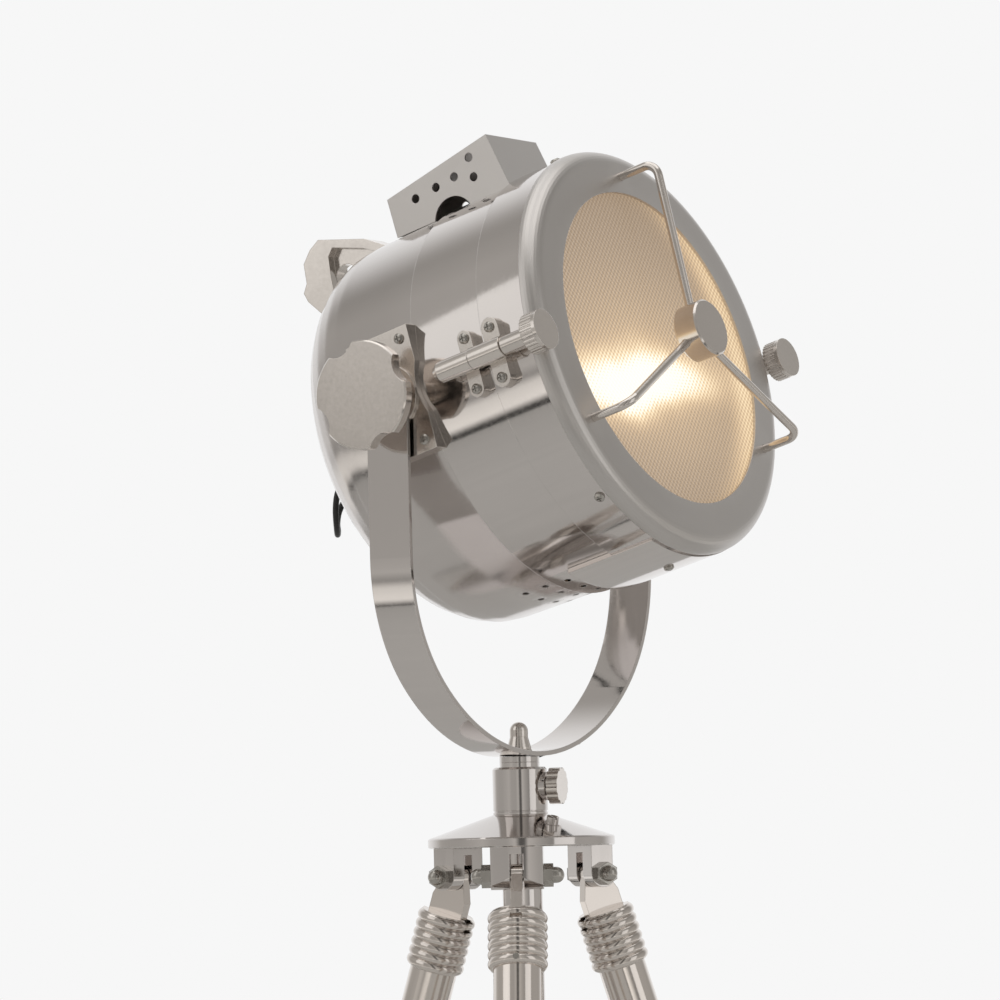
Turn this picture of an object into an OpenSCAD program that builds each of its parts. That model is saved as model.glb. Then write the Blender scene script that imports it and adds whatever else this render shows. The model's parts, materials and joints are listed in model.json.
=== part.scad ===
/* [Head] */
// Upward tilt of the lamp head at rest, degrees
head_tilt = 15.5; // [10:0.5:20]
// Outer radius of the spun rear shell where it meets the dome
shell_r = 139.5; // [138:0.5:139.5]
// Outer radius of the centre drum
drum_r = 142.6; // [142.3:0.1:142.6]
// Outer radius of the front housing
housing_r = 145; // [144.8:0.1:145]
// Outer radius of the rounded front bezel
bezel_r = 146; // [146:0.5:147]
// Radius of the lens opening
lens_open_r = 113; // [108:1:115]
// Thickness of the sheet metal of the head
sheet = 1.5; // [1.4:0.1:1.5]
// Half width of the vent box on top
vent_half_w = 32; // [26:1:36]

/* [Guard] */
// Radius of the guard rods
rod_r = 3; // [2.5:0.1:3.4]
// Distance of the guard feet from the head axis
guard_r = 125.5; // [120:0.5:128]
// Radius of the round boss in the middle of the guard
guard_boss_r = 20; // [16:1:24]

/* [Yoke] */
// Inside half width of the yoke
yoke_half_w = 150; // [150:0.5:151]
// Width of the yoke strap
strap_w = 33; // [28:1:36]
// Thickness of the yoke strap
strap_t = 3.2; // [3:0.1:3.2]
// Radius of the lobed tilt knobs
tilt_knob_r = 37; // [32:1:40]

/* [Stand] */
// Radius of the sliding centre column
column_r = 14; // [13:0.5:14]
// Length of the centre column
column_len = 420; // [380:10:460]
// Radius of the top plate
plate_r = 65.5; // [64:0.5:67]
// Radius of the leg tubes
leg_r = 16.8; // [15:0.1:17]
// Length of a leg from its pivot to the floor
leg_len = 1190; // [1100:10:1250]
// Spread of each leg from the vertical, degrees
leg_spread = 18.5; // [16:0.5:20]

/* [Cord] */
// Radius of the flexible cord
cord_r = 2.2; // [2:0.1:2.3]

/* [Hidden] */
$fn = 96;
col_y = -108;
leg_pivot_r = 55;
leg_pivot_drop = 20;
ferrule_len = 41;
ferrule_drop = 68;
rib_pitch = 6.6;
plate_z = leg_len * cos(leg_spread) + leg_pivot_drop;
rim_h = 6.6;
cone_h = 22.7;
hub_r = 19.2;
hub_top = 55.6;
thumb_z = 42;
column_top = 63;
tilt_h = 306.4;
tilt_z = plate_z + tilt_h;
slip = 0.04;
leg_az = [-60, 60, 180];

// head profile, distances along the head axis from the tilt axis
dome_s = -46;
dome_depth = 62;
dome_flat_r = 42;
shell_front_s = 26;
shell_front_r = drum_r - sheet - 0.1;
drum_s0 = 22;
drum_s1 = 100;
housing_s0 = 80;
housing_s1 = 118.5;
bezel_s0 = 116.5;
bezel_round = 12;
bezel_arc_s = 117;
bezel_t = 2;
lip_s = 129.6;
lens_back_s = 122;
lens_front_s = 127;
lens_r = 119;
rod_s = 159;
rod_bend = 10;
boss_s0 = 157;
boss_s1 = 172;
saddle_l = 147.5;
saddle_half_s = 26;
saddle_half_v = 44;
stud_r = 5;
latch_l = 157;
latch_lug_v = 17.8;
latch_rear_s = 69;
latch_front_s = 92;
barrel_r = 7.8;
rear_barrel_r = 7.3;
pin_r = 5;
screw_head_r = 3.6;
vent_hole_r = 2.4;

// yoke curve made of arcs that meet smoothly
yoke_straight = 109;
side_arc_x = 32;
side_arc_r = yoke_half_w - side_arc_x;
mid_arc_up = 32.9;
mid_arc_r = 163.9;
arc_join = atan2(mid_arc_up, side_arc_x);

// cord clips on the yoke: distance out, height from the tilt axis, lean
clip_at = [[yoke_half_w + strap_t, -96, 0], [125, -187.1, 40], [70.8, -227.8, 65]];

// cord route, relative to the column axis and the underside of the top plate
cord_lift = 2.6;
gland_end = 135;
gland_y = gland_end * cos(head_tilt);
gland_z = tilt_h - gland_end * sin(head_tilt);
drip_loop = [[0, gland_y, gland_z], [0, gland_y + 8, gland_z - 2.2], [-1, 145, 263], [-2, 149, 255], [-3, 150, 245],
  [0, 152, 236], [5, 155, 230], [12, 159.5, 227], [19, 164, 230], [24, 168, 236], [27, 168, 245],
  [31, 164, 254], [40, 157, 262], [54, 147, 267], [72, 133, 269], [90, 118, 267], [108, 101, 262],
  [124, 83, 256], [139, 64, 250], [150, 46, 245], [155.5, 30, 241], [156, 16, 236], [156, 5, 228],
  [yoke_half_w + strap_t + cord_lift, 0, 219],
  [yoke_half_w + strap_t + cord_lift, 0, 211]];
arm_run = concat([[yoke_half_w + strap_t + cord_lift, 0, 211]],
  [for (a = [0:9:45]) [side_arc_x + (side_arc_r + strap_t + cord_lift) * cos(a), 0,
    tilt_h - yoke_straight - (side_arc_r + strap_t + cord_lift) * sin(a)]],
  [for (a = [52:8:68]) [(mid_arc_r + strap_t + cord_lift) * cos(a), 0,
    tilt_h - yoke_straight + mid_arc_up - (mid_arc_r + strap_t + cord_lift) * sin(a)]]);
pan_run = [arm_run[len(arm_run) - 1], [57.5, 0.5, 69.8], [50, 6, 67.4], [43.5, 12, 65], [38.5, 16.5, 61],
  [35, 19.3, 55.5], [33.4, 20.6, 49], [33, 21, 42]];
// the cord hangs behind the column: along is the direction it leans away in
along = [0.832, 0.555, 0];
aside = [-0.555, 0.832, 0];
floor_z = -plate_z;
drop_run = concat([[33, 21, 41.6]], [for (q = [[39.3, 35], [41, 28.5], [45.5, 22.8], [53, 18.3], [62, 14.8], [70, 9.5],
  [75.5, 2], [78.3, -7], [79.4, -17], [79.5, -30], [79.5, -300], [79.5, -700], [79.5, floor_z + 40], [80.5, floor_z + 27],
  [85, floor_z + 15], [93, floor_z + 7], [104, floor_z + 3], [118, floor_z + cord_r],
  [136, floor_z + cord_r]]) along * q[0] + [0, 0, q[1]]]);
coil_r = 25;
coil_turns_h = 3;
coil_at = along * 150 + aside * coil_r;
tail_run = [for (q = [[165, 50, cord_r], [182, 50.5, cord_r], [200, 52, 3], [216, 54.5, 5.5], [231, 58, 8.5],
  [246, 61.8, 10.5], [258, 64.8, 11.2]]) along * q[0] + aside * q[1] + [0, 0, floor_z + q[2]]];

module place_head() {
  translate([0, col_y, tilt_z]) rotate([90 - head_tilt, 0, 0]) children();
}

module place_column() {
  translate([0, col_y, plate_z]) children();
}

// s along the head axis, th round it from the top towards the left side
module radial(s, th, r) {
  rotate([0, 0, th]) translate([0, r, s]) rotate([-90, 0, 0]) children();
}

module both_sides() {
  children();
  mirror([1, 0, 0]) children();
}

// extrudes a shape drawn in (s, v) across the head
module across(w) {
  rotate([0, -90, 0]) linear_extrude(w, center = true) children();
}

// the space filled by the shell and the drum
module drum_space() {
  translate([0, 0, -60]) cylinder(r = shell_front_r + 0.05, h = 60 + drum_s0, $fn = 144);
  translate([0, 0, drum_s0]) cylinder(r = drum_r, h = 80, $fn = 144);
}

module cross_screw(r) {
  difference() {
    union() {
      cylinder(r = r, h = 1.2, $fn = 32);
      translate([0, 0, 1.2]) cylinder(r1 = r, r2 = r * 0.62, h = 1, $fn = 32);
    }
    translate([-r * 0.55, -0.4, 1.2]) cube([r * 1.1, 0.8, 2]);
    translate([-0.4, -r * 0.55, 1.2]) cube([0.8, r * 1.1, 2]);
  }
}

function dome_pt(i, in) =
  [dome_flat_r + (shell_r - in - dome_flat_r) * cos(i * 9), dome_s - (dome_depth - in) * sin(i * 9)];

module rear_shell() {
  outer = [for (i = [0:10]) dome_pt(i, 0)];
  inner = [for (i = [10:-1:0]) dome_pt(i, sheet)];
  rear = dome_s - dome_depth;
  color("silver") place_head() difference() {
    rotate_extrude($fn = 144) polygon(concat(
      [[shell_front_r, shell_front_s]], outer,
      [[4, rear], [4, rear + sheet]], inner,
      [[shell_front_r - sheet, shell_front_s]]));
    for (a = [-25, 25]) radial(11, a, shell_r - 5) cylinder(r = vent_hole_r, h = 10, $fn = 24);
    for (s = [-4, 13]) for (a = [165:7.5:195])
      radial(s, a, shell_r - 5) cylinder(r = vent_hole_r, h = 10, $fn = 24);
  }
}

module centre_drum() {
  color("silver") place_head() difference() {
    translate([0, 0, drum_s0]) cylinder(r = drum_r, h = drum_s1 - drum_s0, $fn = 144);
    translate([0, 0, drum_s0 - 1]) cylinder(r = drum_r - sheet, h = drum_s1, $fn = 144);
    for (a = [-25, 25]) for (s = [29, 44, 58])
      radial(s, a, drum_r - 5) cylinder(r = vent_hole_r, h = 10, $fn = 24);
    for (a = [165:7.5:195]) radial(32, a, drum_r - 5) cylinder(r = vent_hole_r, h = 10, $fn = 24);
  }
}

module vent_outline(in) {
  polygon([[-35 + in, 120], [-36 + in, 166 - in], [55.5 - in, 180.8 - in], [64 - in, 142], [64 - in, 120]]);
}

module vent_box() {
  hole_sv = [[-13, 158.4], [5.5, 160], [22, 161.7], [37.5, 156], [37.5, 170.4]];
  color("silver") place_head() difference() {
    across(2 * vent_half_w) vent_outline(0);
    across(2 * (vent_half_w - 1.2)) vent_outline(1.2);
    drum_space();
    for (p = hole_sv) translate([0, p[1], p[0]]) rotate([0, 90, 0])
      cylinder(r = 3.2, h = 80, center = true, $fn = 24);
    translate([0, 133, 14]) rotate([0, 90, 0]) cylinder(r = 16.5, h = 80, center = true, $fn = 48);
  }
}

// a cast loop: a full width rim round a thinner web with a finger hole
module rear_handle() {
  rim = [[-50, 136], [-76, 153.5], [-114, 166.5], [-123, 162], [-131, 154], [-132.5, 140], [-137, 134],
    [-135, 127], [-127, 116], [-96, 84], [-60, 100]];
  recess = [[-104, 157], [-79, 147.5], [-64, 138], [-60, 110], [-93, 100], [-112, 120], [-111, 138], [-109, 152]];
  color("silver") place_head() difference() {
    union() {
      across(22) difference() {
        polygon(rim);
        polygon(recess);
      }
      across(9) difference() {
        polygon(recess);
        translate([-102, 135]) circle(9, $fn = 48);
      }
    }
    rotate_extrude($fn = 144) polygon(concat(
      [[0, 30], [shell_front_r + 0.05, 30]], [for (i = [0:10]) dome_pt(i, -0.05)], [[0, dome_s - dome_depth - 0.05]]));
  }
}

module pivot_saddles() {
  color("silver") place_head() both_sides() difference() {
    translate([-saddle_l, -saddle_half_v, -saddle_half_s])
      cube([16, 2 * saddle_half_v, 2 * saddle_half_s]);
    drum_space();
    for (k = [-1, 1]) translate([-saddle_l, 0, k * 64]) rotate([0, 90, 0])
      cylinder(r = 42, h = 50, center = true, $fn = 96);
  }
}

module trunnions() {
  color("silver") place_head() both_sides() translate([-saddle_l, 0, 0]) rotate([0, -90, 0]) {
    cylinder(r = 22, h = yoke_half_w - saddle_l - 0.1);
    cylinder(r = stud_r, h = 25, $fn = 48);
  }
}

module head_screws() {
  color("gray") place_head() both_sides() {
    for (v = [-36, 36]) for (s = [-18, 18]) translate([-saddle_l, v, s]) rotate([0, -90, 0])
      cross_screw(screw_head_r);
    for (k = [-1, 1]) translate([-149, k * latch_lug_v, latch_rear_s]) rotate([0, -90, 0])
      cross_screw(screw_head_r);
  }
}

module latch_lugs(s, top_l, half_s) {
  for (k = [-1, 1]) translate([-top_l, k * latch_lug_v, s]) rotate([0, 90, 0])
    cylinder(r = half_s, h = 20, $fn = 48);
  translate([-top_l, -latch_lug_v, s - half_s]) cube([20, 2 * latch_lug_v, 2 * half_s]);
}

module latch_rear_brackets() {
  color("silver") place_head() both_sides() difference() {
    union() {
      latch_lugs(latch_rear_s, 149, 5.6);
      translate([-latch_l, 0, 50]) cylinder(r = rear_barrel_r, h = 26.4, $fn = 48);
      translate([-latch_l, 0, 46]) cylinder(r1 = rear_barrel_r - 2.5, r2 = rear_barrel_r, h = 4, $fn = 48);
      translate([-latch_l, -5, 58]) cube([12, 10, 18.4]);
    }
    translate([0, 0, 40]) cylinder(r = drum_r, h = 60, $fn = 144);
    translate([-latch_l, 0, 54]) cylinder(r = pin_r + slip, h = 40, $fn = 48);
  }
}

module lamp_bracket() {
  rear = dome_s - dome_depth + sheet;
  color("dimgray") place_head() difference() {
    union() {
      translate([0, 0, rear]) cylinder(r = 30, h = 2.5);
      translate([0, 0, rear]) cylinder(r = 15, h = -34 - rear);
    }
    translate([0, 0, rear - 1]) cylinder(r = 6, h = 100, $fn = 48);
  }
}

module lamp_holder() {
  color("black") place_head() difference() {
    translate([0, 0, -34]) cylinder(r = 19, h = 62);
    translate([0, 0, -10]) cylinder(r = 14.2, h = 60);
  }
}

module bulb() {
  color("white") place_head() {
    translate([0, 0, -6]) cylinder(r = 13.2, h = 36, $fn = 48);
    rotate_extrude($fn = 64) polygon([[0, 30], [13.2, 30], [15, 38], [24, 52], [29.4, 68],
      [30, 78], [28, 88], [22, 98.5], [12, 105.5], [0, 108]]);
  }
}

module reflector() {
  color("silver") place_head() rotate_extrude($fn = 96) polygon([
    [19.1, 14], [40, 22], [66, 42], [90, 72], [106, 104], [108, 116],
    [106.8, 116], [104.8, 104.5], [89, 73], [65.2, 43], [39.6, 23.1], [19.1, 15.2]]);
}

module cord_gland() {
  rear = dome_s - dome_depth;
  color("black") place_head() {
    translate([0, 0, rear - 5]) cylinder(r = 9, h = 5, $fn = 48);
    translate([0, 0, rear - 27]) cylinder(r1 = 3.1, r2 = 6.4, h = 22, $fn = 48);
  }
}

module front_housing() {
  color("silver") place_head() difference() {
    translate([0, 0, housing_s0]) cylinder(r = housing_r, h = housing_s1 - housing_s0, $fn = 144);
    translate([0, 0, housing_s0 - 1]) cylinder(r = housing_r - sheet, h = 60, $fn = 144);
  }
}

module lower_hood() {
  color("silver") place_head() rotate([0, 0, 249]) translate([0, 0, 43])
    rotate_extrude(angle = 42, $fn = 144) polygon([[drum_r + 0.1, 0], [housing_r + 1.4, 0], [housing_r + 1.4, 71],
      [housing_r + 0.02, 71], [housing_r + 0.02, 36.8], [drum_r + 0.1, 36.8]]);
}

module bezel_ring() {
  outer = [for (a = [0:10:90]) [bezel_r - bezel_round + bezel_round * cos(a),
                                bezel_arc_s + bezel_round * sin(a)]];
  inner = [for (a = [90:-10:10]) [bezel_r - bezel_round + (bezel_round - bezel_t) * cos(a),
                                  bezel_arc_s + (bezel_round - bezel_t) * sin(a)]];
  color("darkgray") place_head() difference() {
    rotate_extrude($fn = 144) polygon(concat(
      [[bezel_r, bezel_s0]], outer,
      [[lens_open_r, lip_s], [lens_open_r, lip_s - bezel_t]], inner,
      [[housing_r - 1.2, housing_s1 + 0.1], [housing_r + 0.05, housing_s1 + 0.1],
       [housing_r + 0.05, bezel_s0]]));
    for (a = [0, 120, 240]) rotate([0, 0, a - 3]) translate([0, guard_r, 110])
      cylinder(r = rod_r + slip, h = 40, $fn = 48);
  }
}

module lens_seal() {
  color("black") place_head() translate([0, 0, lens_back_s - 2]) difference() {
    cylinder(r = lens_r + 2.5, h = lens_front_s - lens_back_s + 2.1);
    translate([0, 0, 2]) cylinder(r = lens_r + slip, h = 20);
    translate([0, 0, -1]) cylinder(r = lens_open_r, h = 20);
  }
}

module lens() {
  color("wheat") place_head() translate([0, 0, lens_back_s]) cylinder(r = lens_r, h = lens_front_s - lens_back_s);
}

module guard_rods() {
  color("silver") place_head() for (a = [0, 120, 240]) rotate([0, 0, a - 3]) {
    translate([0, 12, rod_s]) rotate([-90, 0, 0])
      cylinder(r = rod_r, h = guard_r - rod_bend - 12, $fn = 32);
    translate([0, guard_r - rod_bend, rod_s - rod_bend]) rotate([90, 0, 90])
      rotate_extrude(angle = 90, $fn = 64) translate([rod_bend, 0]) circle(rod_r, $fn = 32);
    translate([0, guard_r, 125]) cylinder(r = rod_r, h = rod_s - rod_bend - 125, $fn = 32);
  }
}

module guard_boss() {
  color("silver") place_head() difference() {
    union() {
      translate([0, 0, boss_s0 - 4]) cylinder(r1 = guard_boss_r - 2, r2 = guard_boss_r, h = 2);
      translate([0, 0, boss_s0 - 2]) cylinder(r = guard_boss_r, h = boss_s1 - boss_s0 + 0.8);
      translate([0, 0, boss_s1 - 1.2]) cylinder(r1 = guard_boss_r, r2 = guard_boss_r - 1.2, h = 1.2);
    }
    for (a = [0, 120, 240]) rotate([0, 0, a - 3]) translate([0, 12, rod_s]) rotate([-90, 0, 0])
      cylinder(r = rod_r + slip, h = 20, $fn = 32);
  }
}

module latch_front_brackets() {
  color("silver") place_head() both_sides() difference() {
    union() {
      latch_lugs(latch_front_s, 151.5, 6.6);
      translate([-latch_l, 0, 77]) cylinder(r = barrel_r, h = 26, $fn = 48);
      translate([-latch_l, -5, 81]) cube([12, 10, 20]);
    }
    translate([0, 0, 70]) cylinder(r = housing_r, h = 60, $fn = 144);
    translate([-latch_l, 0, 70]) cylinder(r = pin_r + slip, h = 40, $fn = 48);
  }
}

module door_screws() {
  color("gray") place_head() {
    both_sides() for (k = [-1, 1]) translate([-151.5, k * latch_lug_v, latch_front_s])
      rotate([0, -90, 0]) cross_screw(screw_head_r);
    for (a = [17, 137, 257]) radial(110.5, a, housing_r) cross_screw(screw_head_r);
    radial(91, 180, housing_r + 1.4) cross_screw(screw_head_r);
  }
}

module latch_screw() {
  place_head() translate([-latch_l, 0, 0]) {
    translate([0, 0, 57]) cylinder(r = pin_r, h = 47, $fn = 48);
    translate([0, 0, 103.2]) cylinder(r = 6.6, h = 23, $fn = 48);
    difference() {
      translate([0, 0, 125.5]) cylinder(r = 14, h = 12.5);
      for (a = [0:12:348]) rotate([0, 0, a]) translate([14.6, 0, 124]) cylinder(r = 1.1, h = 11, $fn = 16);
    }
  }
}

module latch_screw_left() {
  color("silver") latch_screw();
}

module latch_screw_right() {
  color("silver") mirror([1, 0, 0]) latch_screw();
}

module ring_sector(r, a0, a1) {
  difference() {
    circle(r + strap_t, $fn = 180);
    circle(r, $fn = 180);
    rotate(a0) translate([-400, -800]) square([800, 800]);
    rotate(a1) translate([-400, 0]) square([800, 800]);
  }
}

module yoke_strap() {
  color("silver") translate([0, col_y, tilt_z]) difference() {
    union() {
      rotate([90, 0, 0]) linear_extrude(strap_w, center = true) {
        for (k = [0, 1]) mirror([k, 0, 0]) translate([side_arc_x, -yoke_straight])
          ring_sector(side_arc_r, -arc_join, 0);
        translate([0, mid_arc_up - yoke_straight]) ring_sector(mid_arc_r, -180 + arc_join, -arc_join);
      }
      both_sides() translate([yoke_half_w, 0, 0]) rotate([0, 90, 0]) {
        cylinder(r = strap_w / 2, h = strap_t);
        translate([0, -strap_w / 2, 0]) cube([yoke_straight, strap_w, strap_t]);
      }
    }
    rotate([0, 90, 0]) cylinder(r = stud_r + slip, h = 400, center = true, $fn = 48);
    translate([0, 0, -280]) cylinder(r = stud_r + slip, h = 80, $fn = 48);
  }
}

module pivot_washer() {
  color("silver") place_column() translate([0, 0, column_top + strap_t + 0.5]) difference() {
    cylinder(r = 9, h = 1.2, $fn = 64);
    translate([0, 0, -1]) cylinder(r = stud_r + slip, h = 5, $fn = 48);
  }
}

module cap_nut() {
  z0 = column_top + strap_t + 1.8;
  color("silver") place_column() difference() {
    union() {
      translate([0, 0, z0]) cylinder(r = 8.4, h = 1.5, $fn = 48);
      translate([0, 0, z0 + 1.5]) cylinder(r1 = 8.4, r2 = 6.3, h = 7.5, $fn = 48);
      translate([0, 0, z0 + 9]) cylinder(r = 6.4, h = 4, $fn = 48);
      translate([0, 0, z0 + 13]) difference() {
        sphere(6.4, $fn = 48);
        translate([-10, -10, -20]) cube([20, 20, 20]);
      }
    }
    translate([0, 0, z0 - 1]) cylinder(r = stud_r + slip, h = 12, $fn = 48);
  }
}

module cord_clips() {
  color("black") translate([0, col_y, tilt_z]) for (p = clip_at) translate([p[0], 0, p[1]])
    rotate([0, p[2], 0]) difference() {
      translate([0, -4.5, -3]) cube([cord_lift + cord_r + 1.5, 9, 6]);
      translate([cord_lift, 0, -4]) cylinder(r = cord_r + 0.3, h = 8, $fn = 32);
    }
}

module tilt_knob() {
  translate([0, col_y, tilt_z]) rotate([-27, 0, 0]) translate([-yoke_half_w - strap_t - 0.1, 0, 0]) rotate([0, -90, 0])
    difference() {
      union() {
        cylinder(r = 13, h = 22);
        translate([0, 0, 21.5]) difference() {
          union() {
            cylinder(r1 = tilt_knob_r - 1.5, r2 = tilt_knob_r, h = 1.5, $fn = 128);
            translate([0, 0, 1.5]) cylinder(r = tilt_knob_r, h = 6.5, $fn = 128);
            translate([0, 0, 8]) cylinder(r1 = tilt_knob_r, r2 = tilt_knob_r - 1, h = 1, $fn = 128);
          }
          for (a = [0:90:270]) rotate([0, 0, a]) translate([46, 0, -1]) cylinder(r = 15, h = 12, $fn = 64);
        }
      }
      translate([0, 0, -1]) cylinder(r = stud_r + slip, h = 23, $fn = 48);
    }
}

module tilt_knob_left() {
  color("silver") tilt_knob();
}

module tilt_knob_right() {
  color("silver") mirror([1, 0, 0]) tilt_knob();
}

module column_tube() {
  color("silver") place_column() difference() {
    translate([0, 0, column_top - 4 - column_len]) cylinder(r = column_r, h = column_len);
    translate([0, 0, column_top - 5 - column_len]) cylinder(r = column_r - 1.6, h = column_len + 2);
  }
}

module column_cap() {
  color("silver") place_column() {
    translate([0, 0, column_top - 4]) cylinder(r = column_r, h = 4);
    translate([0, 0, column_top - 24]) cylinder(r = column_r - 1.6 - slip, h = 21);
    translate([0, 0, column_top - 1]) cylinder(r = stud_r, h = 15, $fn = 48);
  }
}

module lug_block() {
  translate([0, -leg_pivot_r, -leg_pivot_drop]) rotate([0, 90, 0]) cylinder(r = 9.6, h = 36.4, center = true, $fn = 64);
  translate([-18.2, -leg_pivot_r - 9.6, -leg_pivot_drop]) cube([36.4, 19.2, leg_pivot_drop + 6]);
}

module top_plate() {
  color("silver") place_column() difference() {
    union() {
      rotate_extrude($fn = 144) polygon([[column_r + 0.3, cone_h], [hub_r, cone_h], [plate_r - 1, rim_h + 0.3],
        [plate_r, rim_h - 0.7], [plate_r, 0.8], [plate_r - 0.8, 0], [plate_r - 4, 0], [plate_r - 4, 2.5],
        [hub_r + 2, cone_h - 6], [hub_r + 2, 8], [column_r + 0.3, 8]]);
      intersection() {
        for (a = leg_az) rotate([0, 0, a]) lug_block();
        translate([0, 0, -40]) rotate_extrude() polygon([[0, 0], [plate_r - 0.8, 0], [plate_r - 0.8, 46], [hub_r, 58], [0, 58]]);
      }
    }
    for (a = leg_az) rotate([0, 0, a]) {
      translate([-4.9, -leg_pivot_r - 20, -leg_pivot_drop - 20]) cube([9.8, 40, 35]);
      translate([0, -leg_pivot_r, -leg_pivot_drop]) rotate([0, 90, 0])
        cylinder(r = 4 + slip, h = 60, center = true, $fn = 32);
    }
    translate([0, 0, -1]) cylinder(r = column_r + 0.3, h = 30);
  }
}

module hub() {
  color("silver") place_column() difference() {
    union() {
      translate([0, 0, cone_h]) cylinder(r = hub_r, h = hub_top - cone_h - 1.5);
      translate([0, 0, hub_top - 1.5]) cylinder(r1 = hub_r, r2 = hub_r - 1.5, h = 1.5);
      rotate([0, 0, 15]) translate([0, 0, thumb_z]) rotate([90, 0, 0]) cylinder(r = 10, h = hub_r + 1.6, $fn = 64);
    }
    translate([0, 0, cone_h - 1]) cylinder(r = column_r + slip, h = 60);
    translate([0, 0, cone_h + 1.5]) rotate_extrude() translate([hub_r - 0.6, 0]) square([2, 1]);
    rotate([0, 0, 15]) translate([0, 0, thumb_z]) rotate([90, 0, 0]) cylinder(r = 4 + slip, h = 40, $fn = 48);
  }
}

module thumb_screw() {
  color("silver") place_column() rotate([0, 0, 15]) translate([0, 0, thumb_z]) rotate([90, 0, 0]) difference() {
    union() {
      translate([0, 0, column_r + 0.35]) cylinder(r = 4, h = 9, $fn = 48);
      translate([0, 0, hub_r + 2]) cylinder(r = 7, h = 2.2, $fn = 48);
      translate([0, 0, hub_r + 3.6]) cylinder(r = 12.8, h = 8.2, $fn = 64);
    }
    for (a = [0:30:330]) rotate([0, 0, a]) translate([14.3, 0, hub_r + 2.6]) cylinder(r = 2.4, h = 12, $fn = 24);
  }
}

module hub_screw() {
  lean = atan2(plate_r - hub_r, cone_h - rim_h);
  color("gray") place_column() rotate([0, 0, -24]) translate([0, -40, cone_h - 20.8 / tan(lean)])
    rotate([90 - lean, 0, 0]) difference() {
      cylinder(r = 4.3, h = 5.2, $fn = 32);
      translate([-0.6, -5, 4.2]) cube([1.2, 10, 2]);
    }
}

module place_lug(k) {
  place_column() rotate([0, 0, leg_az[k]]) translate([0, -leg_pivot_r, -leg_pivot_drop]) children();
}

module pivot_bolts() {
  color("gray") for (k = [0:2]) place_lug(k) rotate([0, 90, 0]) cylinder(r = 4, h = 52, center = true, $fn = 32);
}

module pivot_nuts() {
  color("silver") for (k = [0:2]) place_lug(k) both_sides() translate([18.3, 0, 0]) rotate([0, 90, 0]) difference() {
    union() {
      cylinder(r = 8.1, h = 6.5, $fn = 6);
      translate([0, 0, 6.5]) cylinder(r = 5.6, h = 2, $fn = 32);
      translate([0, 0, 8.5]) difference() {
        sphere(5.6, $fn = 32);
        translate([-10, -10, -20]) cube([20, 20, 20]);
      }
    }
    translate([0, 0, -1]) cylinder(r = 4 + slip, h = 9, $fn = 32);
  }
}

// leg pieces are drawn hanging straight down from the pivot, then spread
module place_leg(k) {
  place_lug(k) rotate([-leg_spread, 0, 0]) children();
}

module leg_tongue(k) {
  color("silver") place_leg(k) difference() {
    rotate([0, 90, 0]) linear_extrude(8, center = true) {
      circle(8, $fn = 48);
      polygon([[0, -8], [0, 8], [16, 14], [37, 14], [37, -14], [16, -14]]);
    }
    rotate([0, 90, 0]) cylinder(r = 4 + slip, h = 20, center = true, $fn = 32);
  }
}

module leg_ferrule(k) {
  color("silver") place_leg(k) translate([0, 0, -ferrule_drop]) difference() {
    union() {
      cylinder(r = 18.2, h = ferrule_len);
      for (i = [0:5]) translate([0, 0, (i + 0.56) * rib_pitch]) rotate_extrude($fn = 72)
        intersection() {
          translate([16.7, 0]) circle(4, $fn = 32);
          translate([10, 0.01 - rib_pitch / 2]) square([20, rib_pitch - 0.02]);
        }
    }
    translate([0, 0, -1]) cylinder(r = leg_r + slip, h = ferrule_len - 6);
    translate([-4.04, -20, ferrule_len - 11]) cube([8.08, 40, 20]);
    translate([0, 0, 4]) rotate([90, 0, 0]) cylinder(r = 2.2, h = 30, $fn = 24);
  }
}

module leg_tube(k) {
  color("silver") place_leg(k) translate([0, 0, -leg_len + 46]) difference() {
    cylinder(r = leg_r, h = leg_len - 53 - ferrule_drop + ferrule_len);
    translate([0, 0, -1]) cylinder(r = leg_r - 1.5, h = leg_len);
  }
}

module leg_foot(k) {
  color("black") difference() {
    place_leg(k) {
      translate([0, 0, -leg_len - 12]) cylinder(r = 19.5, h = 58);
      translate([0, 0, -leg_len + 45]) cylinder(r = leg_r - 1.5 - slip, h = 18);
    }
    translate([-1000, -1000, -100]) cube([2000, 2000, 100]);
  }
}

module leg_screw(k) {
  color("gray") place_leg(k) translate([0, 0, 4 - ferrule_drop]) rotate([90, 0, 0]) translate([0, 0, leg_r + 0.2])
    cylinder(r = 2.16, h = 3.4, $fn = 24);
}

module leg_tongue_left() { leg_tongue(0); }
module leg_tongue_right() { leg_tongue(1); }
module leg_tongue_rear() { leg_tongue(2); }
module leg_ferrule_left() { leg_ferrule(0); }
module leg_ferrule_right() { leg_ferrule(1); }
module leg_ferrule_rear() { leg_ferrule(2); }
module leg_tube_left() { leg_tube(0); }
module leg_tube_right() { leg_tube(1); }
module leg_tube_rear() { leg_tube(2); }
module leg_foot_left() { leg_foot(0); }
module leg_foot_right() { leg_foot(1); }
module leg_foot_rear() { leg_foot(2); }
module leg_screw_left() { leg_screw(0); }
module leg_screw_right() { leg_screw(1); }
module leg_screw_rear() { leg_screw(2); }

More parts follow.
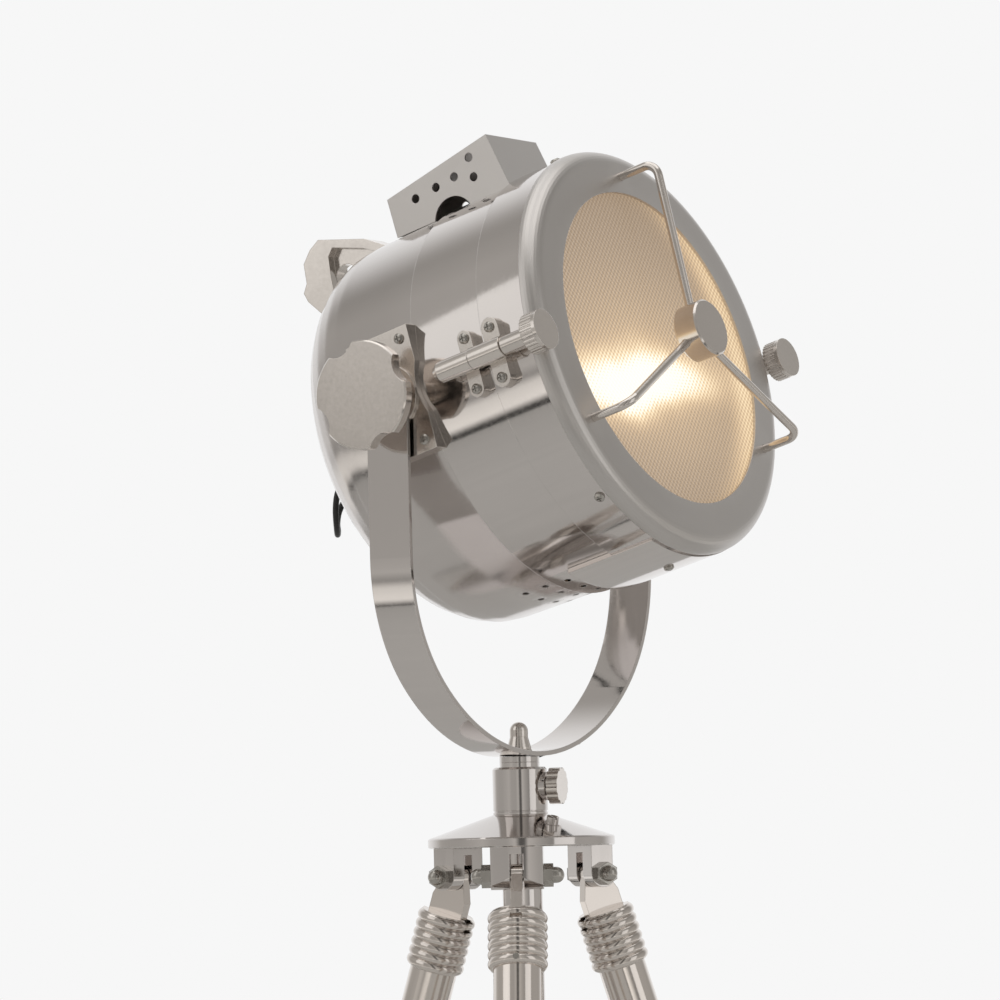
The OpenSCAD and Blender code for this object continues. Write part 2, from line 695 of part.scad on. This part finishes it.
// a round cord swept along points; ref is a direction the cord never takes
module cord_run(pts, ref) {
  n = len(pts);
  m = 10;
  rings = [for (i = [0:n - 1])
    let (t = pts[min(i + 1, n - 1)] - pts[max(i - 1, 0)],
         u = cross(t, ref) / norm(cross(t, ref)),
         w = cross(t, u) / norm(t))
    for (j = [0:m - 1]) pts[i] + cord_r * (u * cos(j * 360 / m) + w * sin(j * 360 / m))];
  sides = [for (i = [0:n - 2]) for (j = [0:m - 1]) for (k = [0, 1])
    let (a = i * m + j, b = i * m + (j + 1) % m)
    k == 0 ? [a, b, b + m] : [a, b + m, a + m]];
  color("black") place_column() polyhedron(rings, concat(
    [[for (j = [m - 1:-1:0]) j]], sides, [[for (j = [0:m - 1]) (n - 1) * m + j]]));
}

module cord_head() {
  cord_run(drip_loop, [-0.64, 0.3, 0.71]);
}

module cord_yoke() {
  cord_run(arm_run, [0, 1, 0]);
}

module cord_pan() {
  cord_run(pan_run, [0.4, 0.9, 0]);
}

module cord_drop() {
  cord_run(drop_run, aside);
}

module cord_tail() {
  cord_run(tail_run, [0, 0, 1]);
}

module cord_coil() {
  color("black") place_column() translate(coil_at + [0, 0, floor_z]) rotate_extrude($fn = 72)
    translate([coil_r - 2 * cord_r, 0]) square([4 * cord_r, 2 * coil_turns_h * cord_r]);
}

module plug() {
  color("black") place_column() translate(tail_run[6]) rotate([0, 0, 33.7 + 14]) rotate([0, 90, 0]) {
    cylinder(r1 = 2.6, r2 = 6, h = 22, $fn = 48);
    translate([0, 0, 22]) cylinder(r1 = 8.5, r2 = 11, h = 6, $fn = 64);
    translate([0, 0, 28]) cylinder(r = 11, h = 20, $fn = 64);
    for (k = [-6.35, 6.35]) translate([-3.1, k - 0.75, 48]) cube([6.2, 1.5, 17]);
  }
}

rear_shell();
centre_drum();
vent_box();
rear_handle();
pivot_saddles();
trunnions();
latch_rear_brackets();
head_screws();
lamp_bracket();
lamp_holder();
bulb();
reflector();
cord_gland();
front_housing();
lower_hood();
bezel_ring();
lens_seal();
lens();
guard_rods();
guard_boss();
latch_front_brackets();
door_screws();
latch_screw_left();
latch_screw_right();
yoke_strap();
pivot_washer();
cap_nut();
cord_clips();
tilt_knob_left();
tilt_knob_right();
column_tube();
column_cap();
top_plate();
hub();
thumb_screw();
hub_screw();
pivot_bolts();
pivot_nuts();
leg_tongue_left();
leg_tongue_right();
leg_tongue_rear();
leg_ferrule_left();
leg_ferrule_right();
leg_ferrule_rear();
leg_tube_left();
leg_tube_right();
leg_tube_rear();
leg_foot_left();
leg_foot_right();
leg_foot_rear();
leg_screw_left();
leg_screw_right();
leg_screw_rear();
cord_head();
cord_yoke();
cord_pan();
cord_drop();
cord_coil();
cord_tail();
plug();
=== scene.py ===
import json
import math

import bpy
from mathutils import Matrix, Vector


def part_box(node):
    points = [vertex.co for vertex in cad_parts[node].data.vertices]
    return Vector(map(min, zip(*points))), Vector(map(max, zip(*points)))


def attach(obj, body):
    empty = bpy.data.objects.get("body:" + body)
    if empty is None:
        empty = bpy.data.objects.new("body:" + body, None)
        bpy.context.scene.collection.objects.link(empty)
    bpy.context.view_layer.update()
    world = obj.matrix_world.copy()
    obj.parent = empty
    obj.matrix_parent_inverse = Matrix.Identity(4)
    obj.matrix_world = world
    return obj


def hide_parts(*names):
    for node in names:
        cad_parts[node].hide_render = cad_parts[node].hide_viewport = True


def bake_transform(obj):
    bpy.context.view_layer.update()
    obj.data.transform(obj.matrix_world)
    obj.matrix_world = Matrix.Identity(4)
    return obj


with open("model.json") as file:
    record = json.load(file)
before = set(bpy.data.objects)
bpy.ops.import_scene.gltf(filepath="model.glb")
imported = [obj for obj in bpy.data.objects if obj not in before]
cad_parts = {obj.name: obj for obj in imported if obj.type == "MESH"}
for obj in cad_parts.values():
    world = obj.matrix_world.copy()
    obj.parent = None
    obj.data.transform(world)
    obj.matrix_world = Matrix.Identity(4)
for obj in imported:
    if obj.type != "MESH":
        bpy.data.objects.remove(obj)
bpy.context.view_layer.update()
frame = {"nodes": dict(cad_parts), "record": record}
scene = bpy.context.scene
MM = 0.001

# ---------------------------------------------------------------- the frame
HEAD_TILT = math.radians(15.5)
COLUMN_Y = -108 * MM
# heights above the underside of the top plate, in millimetres
HUB_TOP = 55.6
TILT_HEIGHT = 306.4
PLATE_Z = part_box("hub")[1][2] - HUB_TOP * MM
TILT_Z = PLATE_Z + TILT_HEIGHT * MM
HEAD_UP = Vector((0, math.sin(HEAD_TILT), math.cos(HEAD_TILT)))
TILT_AXIS = Vector((0, COLUMN_Y, TILT_Z))
COLUMN = Vector((0, COLUMN_Y, PLATE_Z))
UP = Vector((0, 0, 1))


def column_point(x, y, z):
    """A point given in millimetres from the column axis and the underside of the top plate."""
    return COLUMN + Vector((x, y, z)) * MM


# ---------------------------------------------------------------- camera
AWAY = Vector((0.832, 0.555, 0)).normalized()
CAMERA_AT = (-3272, -2158, -1.3)
CAMERA_ROLL = math.radians(1.37)
LENS = 201.6
SENSOR = 36
SHIFT = (0.0077, 0.3493)
camera_data = bpy.data.cameras.new("camera")
camera = bpy.data.objects.new("camera", camera_data)
scene.collection.objects.link(camera)
scene.camera = camera
camera.location = column_point(*CAMERA_AT)
side = AWAY.cross(UP)
cam_x = side * math.cos(CAMERA_ROLL) - UP * math.sin(CAMERA_ROLL)
cam_y = UP * math.cos(CAMERA_ROLL) + side * math.sin(CAMERA_ROLL)
camera.rotation_mode = "QUATERNION"
camera.rotation_quaternion = Matrix((cam_x, cam_y, -AWAY)).transposed().to_quaternion()
camera_data.lens = LENS
camera_data.sensor_width = SENSOR
camera_data.shift_x, camera_data.shift_y = SHIFT
camera_data.clip_end = 100


# ---------------------------------------------------------------- materials
BLOTCHES = 9
TONE_SPREAD = 0.07
GRAIN_DEPTH = 0.2 * MM


def new_material(name):
    material = bpy.data.materials.new(name)
    material.use_nodes = True
    nodes, links = material.node_tree.nodes, material.node_tree.links
    return material, nodes, links, nodes["Principled BSDF"]


def shade(colour, factor, lift=0):
    """The colour made brighter or darker, never past white, with its alpha."""
    return (*[min(1, c * factor + lift) for c in colour], 1)


def surface(name, colour, rough, metallic, grain, rough_spread, bump,
            stretch=(1, 1, 1), wear=0.25, rounding=0.7):
    """A finish with fine grain, uneven roughness and worn edges.

    grain is the number of grains in a metre, and stretch draws them out into brush lines.
    wear is how far the edges turn to the worn colour, and rounding softens them, in millimetres.
    """
    material, nodes, links, shader = new_material(name)
    shader.inputs["Metallic"].default_value = metallic
    place = nodes.new("ShaderNodeTexCoord")
    mapping = nodes.new("ShaderNodeMapping")
    mapping.inputs["Scale"].default_value = stretch
    links.new(place.outputs["Object"], mapping.inputs["Vector"])
    fine = nodes.new("ShaderNodeTexNoise")
    fine.inputs["Scale"].default_value = grain
    fine.inputs["Detail"].default_value = 4
    links.new(mapping.outputs["Vector"], fine.inputs["Vector"])
    broad = nodes.new("ShaderNodeTexNoise")
    broad.inputs["Scale"].default_value = BLOTCHES
    broad.inputs["Detail"].default_value = 3
    links.new(place.outputs["Object"], broad.inputs["Vector"])
    spread = nodes.new("ShaderNodeMapRange")
    spread.inputs["From Min"].default_value = 0.3
    spread.inputs["From Max"].default_value = 0.7
    spread.inputs["To Min"].default_value = max(0.0, rough - rough_spread)
    spread.inputs["To Max"].default_value = rough + rough_spread
    links.new(fine.outputs["Fac"], spread.inputs["Value"])
    links.new(spread.outputs["Result"], shader.inputs["Roughness"])
    # edges are worn lighter
    geometry = nodes.new("ShaderNodeNewGeometry")
    edge = nodes.new("ShaderNodeMapRange")
    edge.inputs["From Min"].default_value = 0.52
    edge.inputs["From Max"].default_value = 0.62
    edge.inputs["To Max"].default_value = wear
    links.new(geometry.outputs["Pointiness"], edge.inputs["Value"])
    tone = nodes.new("ShaderNodeMix")
    tone.data_type = "RGBA"
    tone.inputs[6].default_value = shade(colour, 1 - TONE_SPREAD)
    tone.inputs[7].default_value = shade(colour, 1 + TONE_SPREAD)
    links.new(broad.outputs["Fac"], tone.inputs[0])
    worn = nodes.new("ShaderNodeMix")
    worn.data_type = "RGBA"
    worn.inputs[7].default_value = shade(colour, 1.25, 0.04)
    links.new(edge.outputs["Result"], worn.inputs[0])
    links.new(tone.outputs[2], worn.inputs[6])
    links.new(worn.outputs[2], shader.inputs["Base Color"])
    # edges are softened over rounding millimetres
    rounded = nodes.new("ShaderNodeBevel")
    rounded.inputs["Radius"].default_value = rounding * MM
    bumps = nodes.new("ShaderNodeBump")
    bumps.inputs["Strength"].default_value = bump
    bumps.inputs["Distance"].default_value = GRAIN_DEPTH
    links.new(rounded.outputs["Normal"], bumps.inputs["Normal"])
    links.new(fine.outputs["Fac"], bumps.inputs["Height"])
    links.new(bumps.outputs["Normal"], shader.inputs["Normal"])
    return material


NICKEL = (0.63, 0.597, 0.578)
# the brush lines of the satin pieces run along x
BRUSHED = (1, 25, 25)
finishes = {
    "polished_nickel": surface("polished_nickel", NICKEL, 0.08, 1, 420, 0.02, 0.02),
    "spun_nickel": surface("spun_nickel", NICKEL, 0.12, 1, 420, 0.03, 0.02, rounding=7),
    "polished_castings": surface("polished_castings", (0.7, 0.655, 0.615), 0.16, 1, 420, 0.03, 0.02),
    "satin_nickel": surface("satin_nickel", (0.59, 0.565, 0.545), 0.36, 1, 300, 0.04, 0.06, BRUSHED),
    "screws": surface("screws", (0.45, 0.43, 0.40), 0.22, 1, 500, 0.05, 0.02),
    "dark_steel": surface("dark_steel", (0.05, 0.05, 0.05), 0.5, 0, 300, 0.1, 0.1),
    "lamp_holder": surface("lamp_holder", (0.03, 0.03, 0.03), 0.45, 0, 300, 0.1, 0.1),
    "reflector": surface("reflector", (0.75, 0.7, 0.62), 0.3, 1, 200, 0.08, 0.1),
    "seal": surface("seal", (0.02, 0.02, 0.02), 0.6, 0, 500, 0.1, 0.2),
    "black_rubber": surface("black_rubber", (0.018, 0.018, 0.018), 0.5, 0, 500, 0.1, 0.2),
    "cord_black": surface("cord_black", (0.012, 0.012, 0.012), 0.45, 0, 900, 0.08, 0.2),
    "plug_black": surface("plug_black", (0.015, 0.015, 0.015), 0.4, 0, 700, 0.08, 0.15),
    "leg_nickel": surface("leg_nickel", (0.7, 0.65, 0.61), 0.1, 1, 420, 0.02, 0.02),
    "foot_rubber": surface("foot_rubber", (0.02, 0.02, 0.02), 0.6, 0, 500, 0.1, 0.25),
}


BULB_GLOW = 2.0
BULB_COLOURS = ((1.0, 0.75, 0.45, 1), (1.0, 0.9, 0.7, 1))


def bulb_glass():
    """Dimpled glass lit from inside, with a glow that drifts between two warm tones."""
    material, nodes, links, shader = new_material("bulb_glass")
    place = nodes.new("ShaderNodeTexCoord")
    dimples = nodes.new("ShaderNodeTexVoronoi")
    dimples.inputs["Scale"].default_value = 260
    links.new(place.outputs["Object"], dimples.inputs["Vector"])
    bumps = nodes.new("ShaderNodeBump")
    bumps.inputs["Strength"].default_value = 0.6
    bumps.inputs["Distance"].default_value = MM
    links.new(dimples.outputs["Distance"], bumps.inputs["Height"])
    links.new(bumps.outputs["Normal"], shader.inputs["Normal"])
    swirl = nodes.new("ShaderNodeTexNoise")
    swirl.inputs["Scale"].default_value = 6
    links.new(place.outputs["Object"], swirl.inputs["Vector"])
    ramp = nodes.new("ShaderNodeValToRGB")
    for element, colour in zip(ramp.color_ramp.elements, BULB_COLOURS):
        element.color = colour
    links.new(swirl.outputs["Fac"], ramp.inputs["Fac"])
    links.new(ramp.outputs["Color"], shader.inputs["Base Color"])
    links.new(ramp.outputs["Color"], shader.inputs["Emission Color"])
    shader.inputs["Emission Strength"].default_value = BULB_GLOW
    shader.inputs["Roughness"].default_value = 0.12
    return material


finishes["bulb_glass"] = bulb_glass()

DIMPLE = 2.3 * MM
DIMPLE_DEPTH = 0.8 * MM
# how much the dimples speckle the painted glow
SPECKLE = 0.42
# the painted bright band rises this much for each metre to the right
BAND_RISE = 0.085
BAND_DRIFT = 0.03
BASE_GLOW = 0.13
# the colours of the painted glow on the lens, from dim tan to near white
LENS_GLOW = (
    (0.0, (0.16, 0.105, 0.066)), (0.16, (0.345, 0.252, 0.168)), (0.4, (0.66, 0.47, 0.28)),
    (0.7, (0.98, 0.78, 0.5)), (1.0, (1.0, 0.97, 0.88)))


def ramp_stops(ramp, stops):
    """Sets a colour ramp to stops of (place, colour)."""
    elements = ramp.color_ramp.elements
    while len(elements) < len(stops):
        elements.new(0.5)
    for element, (at, colour) in zip(elements, stops):
        element.position = at
        element.color = (*colour, 1)


def lens_glass():
    """The lit lens, painted: square dimples over a painted tan glow, with a painted bright band low across
    it and a painted light edge, all emitted by the glass itself in place of the lit bulb and reflector
    behind it.
    """
    material, nodes, links, shader = new_material("lens_glass")

    def maths(kind, *values):
        step = nodes.new("ShaderNodeMath")
        step.operation = kind
        for socket, value in zip(step.inputs, values):
            if isinstance(value, (int, float)):
                socket.default_value = value
            else:
                links.new(value, socket)
        return step.outputs[0]

    def along(direction):
        dot = nodes.new("ShaderNodeVectorMath")
        dot.operation = "DOT_PRODUCT"
        dot.inputs[1].default_value = direction
        links.new(centred.outputs[0], dot.inputs[0])
        return dot.outputs["Value"]

    def bell(value, centre, width):
        offset = maths("DIVIDE", maths("SUBTRACT", value, centre), width)
        return maths("EXPONENT", maths("MULTIPLY", maths("MULTIPLY", offset, offset), -1.0))

    # places on the lens are metres right of and above its centre
    place = nodes.new("ShaderNodeTexCoord")
    centred = nodes.new("ShaderNodeVectorMath")
    centred.operation = "SUBTRACT"
    centred.inputs[1].default_value = TILT_AXIS
    links.new(place.outputs["Object"], centred.inputs[0])
    right = along((1, 0, 0))
    above = along(HEAD_UP)
    waves = math.pi / DIMPLE
    across_grid = maths("SINE", maths("MULTIPLY", right, waves))
    up_grid = maths("SINE", maths("MULTIPLY", above, waves))
    grid = maths("MULTIPLY", across_grid, up_grid)
    bumps = nodes.new("ShaderNodeBump")
    bumps.inputs["Strength"].default_value = 0.7
    bumps.inputs["Distance"].default_value = DIMPLE_DEPTH
    links.new(grid, bumps.inputs["Height"])
    links.new(bumps.outputs["Normal"], shader.inputs["Normal"])
    wobble = nodes.new("ShaderNodeTexNoise")
    wobble.inputs["Scale"].default_value = 14
    wobble.inputs["Detail"].default_value = 3
    links.new(place.outputs["Object"], wobble.inputs["Vector"])
    drift = maths("MULTIPLY", maths("SUBTRACT", wobble.outputs["Fac"], 0.5), BAND_DRIFT)
    slope = maths("ADD", maths("ADD", above, drift), maths("MULTIPLY", right, -BAND_RISE))
    # painted light: the bright band, hot spot, haze and light edge are glow painted into the lens's
    # emission, standing in for the lit bulb and reflector behind the glass
    band = maths("MULTIPLY", bell(slope, -0.022, 0.019), bell(right, -0.05, 0.085))
    painted_hot_spot = maths("MULTIPLY", bell(slope, -0.026, 0.014), bell(right, -0.03, 0.065))
    painted_haze = maths("MULTIPLY", bell(above, -0.02, 0.07), bell(right, -0.02, 0.12))
    right_squared = maths("POWER", maths("ADD", right, 0.03), 2.0)
    out_from_left = maths("SQRT", maths("ADD", right_squared, maths("POWER", above, 2.0)))
    painted_light_edge = maths("MULTIPLY", bell(out_from_left, 0.135, 0.016), bell(right, 0.1, 0.06))
    glow = maths("ADD", maths("MULTIPLY", band, 0.85), maths("MULTIPLY", painted_hot_spot, 0.9))
    glow = maths("ADD", glow, maths("MULTIPLY", painted_haze, 0.18))
    glow = maths("ADD", glow, maths("MULTIPLY", painted_light_edge, 0.3))
    speck = maths("MULTIPLY_ADD", grid, SPECKLE, 1.0)
    glow = maths("MULTIPLY", maths("ADD", glow, BASE_GLOW), speck)
    ramp = nodes.new("ShaderNodeValToRGB")
    ramp_stops(ramp, LENS_GLOW)
    links.new(glow, ramp.inputs["Fac"])
    links.new(ramp.outputs["Color"], shader.inputs["Emission Color"])
    shader.inputs["Emission Strength"].default_value = 1.0
    shader.inputs["Base Color"].default_value = (0.1, 0.09, 0.08, 1)
    roughness = nodes.new("ShaderNodeMapRange")
    roughness.inputs["To Min"].default_value = 0.12
    roughness.inputs["To Max"].default_value = 0.25
    links.new(wobble.outputs["Fac"], roughness.inputs["Value"])
    links.new(roughness.outputs["Result"], shader.inputs["Roughness"])
    return material


finishes["lens_glass"] = lens_glass()


def finish_as(piece, name):
    piece.data.materials.clear()
    piece.data.materials.append(finishes[name])


# every CAD node takes the finish of its slot in the record, but for the rear shell:
# its dome is built of narrow bands, which the wide rounding of spun nickel blends
slots = {s["node"]: s["material_slot"] for s in frame["record"]["subparts"]}
for node, piece in frame["nodes"].items():
    piece.data.materials.clear()
    piece.data.materials.append(finishes["spun_nickel" if node == "rear_shell" else slots[node]])

# ---------------------------------------------------------------- light and floor
BACKDROP = (0.93, 0.93, 0.93, 1)
scene.view_settings.view_transform = "Standard"
world = bpy.data.worlds.new("studio")
scene.world = world
world.use_nodes = True
sky_nodes, sky_links = world.node_tree.nodes, world.node_tree.links
background = sky_nodes["Background"]
direction = sky_nodes.new("ShaderNodeTexCoord")
turn = sky_nodes.new("ShaderNodeVectorMath")
turn.operation = "DOT_PRODUCT"
turn.inputs[1].default_value = AWAY
sky_links.new(direction.outputs["Generated"], turn.inputs[0])


def sky_ramp(value, stops):
    """A grey that runs through stops of (value, brightness)."""
    ramp = sky_nodes.new("ShaderNodeValToRGB")
    sky_links.new(value, ramp.inputs["Fac"])
    ramp_stops(ramp, [(at, (grey, grey * 0.985, grey * 0.96)) for at, grey in stops])
    return ramp.outputs["Color"]


def half_and_half(value):
    """Brings a value between -1 and 1 to between 0 and 1."""
    step = sky_nodes.new("ShaderNodeMath")
    step.operation = "MULTIPLY_ADD"
    step.inputs[1].default_value = 0.5
    step.inputs[2].default_value = 0.5
    sky_links.new(value, step.inputs[0])
    return step.outputs[0]


# the studio is bright behind the lamp, with dark drapes and bright panels round the camera;
# levels go from straight down (0) to straight up (1), and panels from left (0) to right (1)
split = sky_nodes.new("ShaderNodeSeparateXYZ")
sky_links.new(direction.outputs["Generated"], split.inputs[0])
height = half_and_half(split.outputs["Z"])
across_view = sky_nodes.new("ShaderNodeVectorMath")
across_view.operation = "DOT_PRODUCT"
across_view.inputs[1].default_value = side
sky_links.new(direction.outputs["Generated"], across_view.inputs[0])
sideways = half_and_half(across_view.outputs["Value"])
levels = sky_ramp(height, (
    (0.0, 0.78), (0.2, 0.7), (0.25, 0.08), (0.31, 0.05), (0.335, 1.0), (0.39, 0.85), (0.42, 0.34),
    (0.46, 0.56), (0.54, 0.46), (0.62, 0.44), (0.74, 0.46), (0.84, 0.42), (1.0, 0.56)))
panels = sky_ramp(sideways, (
    (0.0, 0.9), (0.12, 1.08), (0.2, 0.9), (0.34, 0.88), (0.43, 1.15), (0.48, 0.22), (0.53, 0.25),
    (0.57, 1.2), (0.66, 0.95), (0.8, 0.65), (1.0, 0.95)))
front_room = sky_nodes.new("ShaderNodeMix")
front_room.data_type = "RGBA"
front_room.blend_type = "MULTIPLY"
front_room.inputs[0].default_value = 1
sky_links.new(levels, front_room.inputs[6])
sky_links.new(panels, front_room.inputs[7])
behind = sky_nodes.new("ShaderNodeMapRange")
behind.interpolation_type = "SMOOTHSTEP"
# how squarely behind the lamp a direction has to be before the backdrop starts, and before it is full
behind.inputs["From Min"].default_value = 0.42
behind.inputs["From Max"].default_value = 0.88
sky_links.new(turn.outputs["Value"], behind.inputs["Value"])
room = sky_nodes.new("ShaderNodeMix")
room.data_type = "RGBA"
room.inputs[7].default_value = BACKDROP
sky_links.new(behind.outputs["Result"], room.inputs[0])
sky_links.new(front_room.outputs[2], room.inputs[6])
sky_links.new(room.outputs[2], background.inputs["Color"])
background.inputs["Strength"].default_value = 1.0


def softbox(name, back, right, up, width, height, power):
    """A lamp towards the camera, to its right and above the head, in metres, which faces the head."""
    data = bpy.data.lights.new(name, "AREA")
    data.shape = "RECTANGLE"
    data.size, data.size_y = width, height
    data.energy = power
    lamp = bpy.data.objects.new(name, data)
    scene.collection.objects.link(lamp)
    lamp.location = TILT_AXIS - AWAY * back + side * right + UP * up
    lamp.rotation_mode = "QUATERNION"
    lamp.rotation_quaternion = (TILT_AXIS - lamp.location).to_track_quat("-Z", "Y")


softbox("key_light", 1.2, -2.2, 1.4, 1.8, 2.4, 7)
softbox("fill_light", 1.6, 2.2, 0.4, 1.4, 2.6, 6)
softbox("top_light", 0, 0, 2.2, 2.4, 2.4, 15)

FLOOR_RADIUS = 3.2
bpy.ops.mesh.primitive_circle_add(vertices=96, radius=FLOOR_RADIUS, fill_type="NGON", location=(0, 0, 0))
floor = bpy.context.object
floor.name = "floor"
floor.data.materials.append(surface("floor_pale", (0.8, 0.8, 0.79), 0.6, 0, 40, 0.1, 0.05, wear=0))


# ---------------------------------------------------------------- cord
# everything here is in millimetres until column_point makes it metres
CORD_R = 2.2
STEP = 3
STRAP_T = 3.2
CLIP_GAP = 2.6
CLIP_OUT = 150 + STRAP_T + CLIP_GAP
SIDE_BEND_R = 118 + STRAP_T + CLIP_GAP
LOW_BEND_R = 163.9 + STRAP_T + CLIP_GAP
SIDE_BEND_X = 32
SIDE_BEND_Z = TILT_HEIGHT - 109
LOW_BEND_Z = SIDE_BEND_Z + 32.9
GLAND_END = 135
# the floor's height, and a hair above it so that the cord lies clear
FLOOR_Z = 0.45 - PLATE_Z / MM
# the drop hangs in the upright plane through the column axis and ALONG
ALONG = Vector((0.832, 0.555, 0))
ASIDE = Vector((-0.555, 0.832, 0))
COIL_R = 25
COIL_OUT = 150
COIL_TURNS = 6
COIL_STEPS = 24


def tube(name, points):
    """A round piece of cord along points in the row frame."""
    curve = bpy.data.curves.new(name, "CURVE")
    curve.dimensions = "3D"
    curve.bevel_depth = CORD_R * MM
    curve.bevel_resolution = 4
    curve.use_fill_caps = True
    spline = curve.splines.new("POLY")
    spline.points.add(len(points) - 1)
    for point, at in zip(spline.points, points):
        point.co = (*at, 1)
    spline.use_smooth = True
    piece = bpy.data.objects.new(name, curve)
    scene.collection.objects.link(piece)
    finish_as(piece, "cord_black")
    return piece


def smooth_line(points):
    """A point every STEP along a line that rounds the corners at points, however uneven their spacing."""
    full = [points[0] * 2 - points[1]] + points + [points[-1] * 2 - points[-2]]
    line = [points[0]]
    for i in range(1, len(full) - 2):
        before, start, end, after = full[i - 1:i + 3]
        span = (end - start).length
        leave = (end - before) * (span / (span + (start - before).length))
        arrive = (after - start) * (span / (span + (after - end).length))
        count = max(1, round(span / (STEP * MM)))
        for k in range(1, count + 1):
            t = k / count
            line.append(start * (2 * t ** 3 - 3 * t ** 2 + 1) + leave * (t ** 3 - 2 * t ** 2 + t)
                        + end * (3 * t ** 2 - 2 * t ** 3) + arrive * (t ** 3 - t ** 2))
    return line


def on_arm(centre_x, centre_z, radius, angle):
    """A point on a bend of the yoke arm, at an angle below the horizontal."""
    turn_by = math.radians(angle)
    return column_point(centre_x + radius * math.cos(turn_by), 0, centre_z - radius * math.sin(turn_by))


def beside(q_along, q_aside, z):
    at = ALONG * q_along + ASIDE * q_aside
    return column_point(at.x, at.y, z)


def on_coil(angle, radius, z):
    """A point round the middle of the coil, z above the floor."""
    turn_by = math.radians(angle)
    return beside(COIL_OUT + radius * math.cos(turn_by), COIL_R + radius * math.sin(turn_by), FLOOR_Z + z)


def coil_row(turn_no):
    """Radius and height of a turn: two rows side by side, and a new layer every second turn."""
    layer = turn_no // 2
    row = CORD_R if (turn_no + layer) % 2 == 0 else -CORD_R
    return COIL_R + row, CORD_R * (1 + 2 * layer)


def coil_line():
    """The turns of the coil; each one passes from the row before it to its own in its first quarter."""
    line = []
    for turn_no in range(COIL_TURNS):
        old_r, old_z = coil_row(max(0, turn_no - 1))
        new_r, new_z = coil_row(turn_no)
        for k in range(COIL_STEPS):
            fade = min(1, 4 * k / COIL_STEPS)
            line.append(on_coil(360 * k / COIL_STEPS - 90, old_r + (new_r - old_r) * fade,
                                old_z + (new_z - old_z) * fade))
    return line


# out of the gland, down in a drip loop and round behind the head to the first clip on the arm
gland_y = GLAND_END * math.cos(HEAD_TILT)
gland_z = TILT_HEIGHT - GLAND_END * math.sin(HEAD_TILT)
drip_loop = [column_point(*p) for p in (
    (0, gland_y, gland_z), (0, gland_y + 8, gland_z - 2.2), (-1, 145, 263), (-2, 149, 255), (-3, 150, 245),
    (0, 152, 236), (5, 155, 230), (12, 159.5, 227), (19, 164, 230), (24, 168, 236), (27, 168, 245),
    (31, 164, 254), (40, 157, 262), (54, 147, 267), (72, 133, 269), (90, 118, 267), (108, 101, 262),
    (124, 83, 256), (139, 64, 250), (150, 46, 245), (155.5, 30, 241), (156, 16, 236), (156, 5, 228),
    (CLIP_OUT, 0, 219), (CLIP_OUT, 0, 211))]
# down the outside of the arm
arm_run = [column_point(CLIP_OUT, 0, 211)]
arm_run += [on_arm(SIDE_BEND_X, SIDE_BEND_Z, SIDE_BEND_R, a) for a in range(0, 46, 9)]
arm_run += [on_arm(0, LOW_BEND_Z, LOW_BEND_R, a) for a in range(52, 69, 8)]
# from under the arm to the back of the column
pan_run = [arm_run[-1]] + [column_point(*p) for p in (
    (57.5, 0.5, 69.8), (50, 6, 67.4), (43.5, 12, 65), (38.5, 16.5, 61), (35, 19.3, 55.5), (33.4, 20.6, 49),
    (33, 21, 42))]
# over the top plate and down to the floor
drop_run = [pan_run[-1]] + [beside(r, 0, z) for r, z in (
    (39.3, 35), (41, 28.5), (45.5, 22.8), (53, 18.3), (62, 14.8), (70, 9.5), (75.5, 2), (78.3, -7),
    (79.4, -17), (79.5, -30), (79.5, -300), (79.5, -700), (79.5, FLOOR_Z + 40), (80.5, FLOOR_Z + 27),
    (85, FLOOR_Z + 15), (93, FLOOR_Z + 7), (104, FLOOR_Z + 3), (118, FLOOR_Z + 2.2))]
# the tail climbs over the outer row, comes off the coil and lies down beside it
tail_run = [on_coil(a, r, z) for a, r, z in (
    (-90, 23, 12.2), (-75, 23.3, 14.2), (-60, 24.3, 15.4), (-45, 26, 15.6), (-30, 28.3, 15.2),
    (-15, 31, 13.4), (0, 34, 10.2))]
tail_run += [beside(a, b, FLOOR_Z + z) for a, b, z in (
    (186.5, 34.5, 6.8), (190, 43, 4.2), (196, 49, 2.8), (204, 52, 2.6), (216, 54.5, 5.2), (231, 58, 8.5),
    (246, 61.8, 10.5), (258, 64.8, 11.2))]


def cord_piece(name, points):
    line = smooth_line(points)
    return tube(name, line), line


head_cord, head_line = cord_piece("head_cord", drip_loop)
arm_cord, arm_line = cord_piece("arm_cord", arm_run)
pan_cord, pan_line = cord_piece("pan_cord", pan_run)
drop_cord, drop_line = cord_piece("drop_cord", drop_run + coil_line() + tail_run)

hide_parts("cord_head")
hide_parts("cord_yoke")
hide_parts("cord_pan")
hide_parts("cord_drop", "cord_coil", "cord_tail")


def as_mesh(piece):
    """Turns a curve piece into a mesh."""
    bpy.ops.object.select_all(action="DESELECT")
    piece.select_set(True)
    bpy.context.view_layer.objects.active = piece
    bpy.ops.object.convert(target="MESH")
    return bpy.context.object


for piece, line, first, second, start, end in (
        (head_cord, head_line, "head", "yoke", head_line[4], head_line[-4]),
        (pan_cord, pan_line, "yoke", "column", pan_line[2], pan_line[-1])):
    mesh_piece = as_mesh(piece)
    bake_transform(mesh_piece)
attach(arm_cord, "yoke")
drop_mesh = as_mesh(drop_cord)
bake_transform(drop_mesh)
